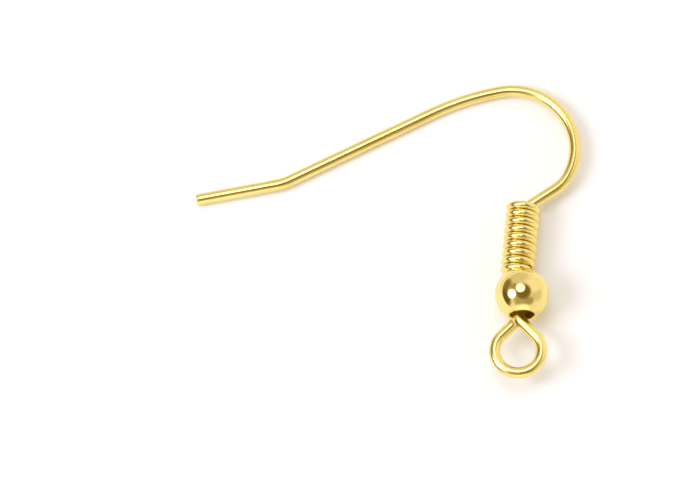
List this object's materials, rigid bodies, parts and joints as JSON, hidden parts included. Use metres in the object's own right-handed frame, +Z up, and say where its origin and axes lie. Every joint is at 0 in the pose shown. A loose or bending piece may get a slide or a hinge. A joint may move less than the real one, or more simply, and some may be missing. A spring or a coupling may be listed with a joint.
{
  "type": "ear wire",
  "caption": "Fish-hook ear wire with a closed eye, a hollow ball bead and a close wire coil on its shank, in polished gold-coloured metal.",
  "frame": {"origin": "middle of the bounding box on the table the ear wire lies on", "axes": "+X from the tail towards the shank, +Y from the eye towards the bow, +Z up from the table"},
  "size_m": [0.0212, 0.0174, 0.003],
  "materials": {
    "hook_gold": "polished gold plating",
    "ball_gold": "polished gold plating",
    "coil_gold": "polished gold plating"
  },
  "bodies": {
    "root": {"ear_hook": "hook_gold", "ball_bead": "ball_gold", "wire_coil": "coil_gold"}
  },
  "joints": []
}
